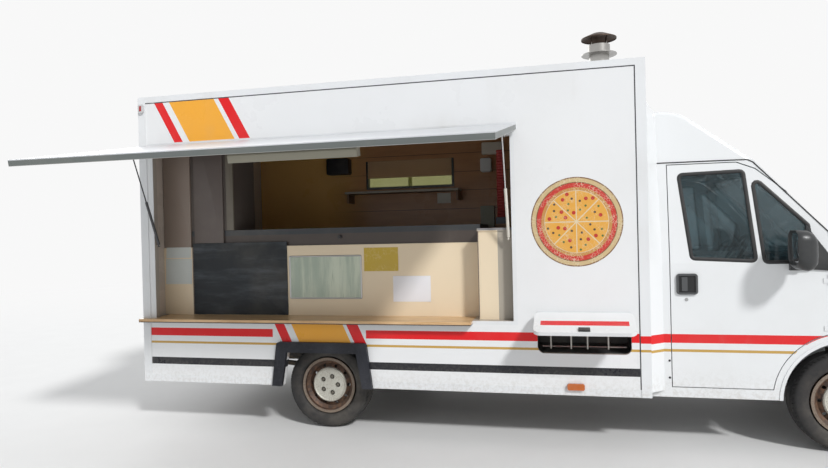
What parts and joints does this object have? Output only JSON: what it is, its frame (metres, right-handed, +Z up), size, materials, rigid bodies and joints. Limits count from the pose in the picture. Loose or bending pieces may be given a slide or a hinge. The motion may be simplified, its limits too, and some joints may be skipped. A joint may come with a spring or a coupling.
{
  "type": "food truck",
  "caption": "Van chassis cab with a kitchen box: raised serving hatch on gas struts, oak ledge, locker, flue and high cab fairing.",
  "frame": {"origin": "on the ground, midway between the rear wheels, under the rear axle", "axes": "+X forwards, +Y to the vehicle's left, +Z up; the serving side is at -Y"},
  "size_m": [6.1958, 3.7541, 3.229],
  "materials": {
    "white_paint": "gloss white paint",
    "white_skin": "white glass-fibre skin",
    "hatch_skin": "coated light panel",
    "white_trim": "painted extrusion",
    "frame_steel": "black chassis paint",
    "engine_iron": "cast, oily",
    "exhaust_steel": "heat stained",
    "floor_board": "coated ply on steel bearers",
    "black_plastic": "textured black",
    "lamp_red": "red lens",
    "lamp_amber": "amber lens",
    "lamp_clear": "clear lens",
    "pane": "safety glass",
    "cream_laminate": "cream laminate",
    "stainless": "brushed stainless",
    "oven_steel": "stainless and fire brick",
    "oak": "oiled oak",
    "unit_board": "brown board",
    "lamp_diffuser": "opal diffuser",
    "seat_cloth": "woven seat cloth",
    "strut_black": "painted cylinder",
    "strut_rod": "chromed rod",
    "tyre_rubber": "road tyre",
    "rim_steel": "rusty steel with a pale cap"
  },
  "bodies": {
    "truck": {"chassis_frame": "frame_steel", "rear_axle": "frame_steel", "front_subframe": "frame_steel", "engine_block": "engine_iron", "exhaust": "exhaust_steel", "fuel_tank": "frame_steel", "box_side_right": "white_skin", "box_side_left": "white_skin", "box_front_wall": "white_skin", "box_rear_wall": "white_skin", "box_roof": "white_skin", "box_floor": "floor_board", "box_trims": "white_trim", "arch_flares": "black_plastic", "rear_lamps": "lamp_red", "marker_lamps": "lamp_amber", "back_window": "pane", "counter": "cream_laminate", "worktop": "stainless", "serving_shelf": "oak", "back_units": "unit_board", "oven": "oven_steel", "flue": "stainless", "locker_box": "stainless", "cab_shell": "white_paint", "roof_fairing": "white_skin", "front_bumper": "black_plastic", "grille": "black_plastic", "headlamps": "lamp_clear", "windscreen": "pane", "dashboard": "black_plastic", "seats": "seat_cloth"},
    "serving_hatch": {"serving_hatch": "hatch_skin", "hatch_light": "lamp_diffuser"},
    "strut_tubes": {"strut_tubes": "strut_black"},
    "strut_rods": {"strut_rods": "strut_rod"},
    "rear_door": {"rear_door": "white_paint"},
    "locker_lid": {"locker_lid": "white_paint"},
    "bonnet": {"bonnet": "white_paint"},
    "cab_door_left": {"cab_door_left": "white_paint", "door_glass_left": "pane", "door_mirror_left": "black_plastic"},
    "knuckle_left": {"knuckle_left": "frame_steel"},
    "wheel_front_left": {"tyre_front_left": "tyre_rubber", "rim_front_left": "rim_steel"},
    "wheel_rear_left": {"tyre_rear_left": "tyre_rubber", "rim_rear_left": "rim_steel"},
    "cab_door_right": {"cab_door_right": "white_paint", "door_glass_right": "pane", "door_mirror_right": "black_plastic"},
    "knuckle_right": {"knuckle_right": "frame_steel"},
    "wheel_front_right": {"tyre_front_right": "tyre_rubber", "rim_front_right": "rim_steel"},
    "wheel_rear_right": {"tyre_rear_right": "tyre_rubber", "rim_rear_right": "rim_steel"}
  },
  "joints": [
    {"name": "hatch_hinge", "type": "hinge", "parent": "truck", "child": "serving_hatch", "pos_m": [0, -1.097, 2.296], "axis": [1, 0, 0], "range_deg": [0, 79.7]},
    {"name": "strut_pivot", "type": "hinge", "parent": "truck", "child": "strut_tubes", "pos_m": [0, -1.049, 1.49], "axis": [1, 0, 0], "range_deg": [-22.19, 0.3]},
    {"name": "strut_slide", "type": "slide", "parent": "strut_tubes", "child": "strut_rods", "axis": [0, -0.4021, 0.9156], "range_m": [-0.3148, 0.002]},
    {"name": "rear_door_hinge", "type": "hinge", "parent": "truck", "child": "rear_door", "pos_m": [-1.5885, 0.168, 1.48], "axis": [0, 0, -1], "range_deg": [0, 110]},
    {"name": "locker_hinge", "type": "hinge", "parent": "truck", "child": "locker_lid", "pos_m": [0, -1.091, 0.946], "axis": [1, 0, 0], "range_deg": [0, 70]},
    {"name": "bonnet_hinge", "type": "hinge", "parent": "truck", "child": "bonnet", "pos_m": [3.975, 0, 1.25746], "axis": [0, -1, 0], "range_deg": [0, 55]},
    {"name": "cab_door_left_hinge", "type": "hinge", "parent": "truck", "child": "cab_door_left", "pos_m": [3.598, 0.9935, 1.02], "axis": [0, 0, -1], "range_deg": [0, 70]},
    {"name": "cab_door_right_hinge", "type": "hinge", "parent": "truck", "child": "cab_door_right", "pos_m": [3.598, -0.9935, 1.02], "axis": [0, 0, 1], "range_deg": [0, 70]},
    {"name": "steer_left", "type": "hinge", "parent": "truck", "child": "knuckle_left", "pos_m": [3.7, 0.712, 0.338], "axis": [0, 0, 1], "range_deg": [-33, 33]},
    {"name": "wheel_front_left_spin", "type": "hinge", "parent": "knuckle_left", "child": "wheel_front_left", "pos_m": [3.7, 0.8625, 0.338], "axis": [0, 1, 0], "continuous": true},
    {"name": "wheel_rear_left_spin", "type": "hinge", "parent": "truck", "child": "wheel_rear_left", "pos_m": [0, 0.8625, 0.338], "axis": [0, 1, 0], "continuous": true},
    {"name": "steer_right", "type": "hinge", "parent": "truck", "child": "knuckle_right", "pos_m": [3.7, -0.712, 0.338], "axis": [0, 0, 1], "range_deg": [-33, 33]},
    {"name": "wheel_front_right_spin", "type": "hinge", "parent": "knuckle_right", "child": "wheel_front_right", "pos_m": [3.7, -0.8625, 0.338], "axis": [0, 1, 0], "continuous": true},
    {"name": "wheel_rear_right_spin", "type": "hinge", "parent": "truck", "child": "wheel_rear_right", "pos_m": [0, -0.8625, 0.338], "axis": [0, 1, 0], "continuous": true}
  ],
  "couplings": [
    {"joint": "strut_pivot", "follows": "hatch_hinge", "ratio": -0.27462},
    {"joint": "strut_slide", "follows": "hatch_hinge", "m_per_rad": -0.22484},
    {"joint": "steer_right", "follows": "steer_left", "ratio": 1}
  ]
}
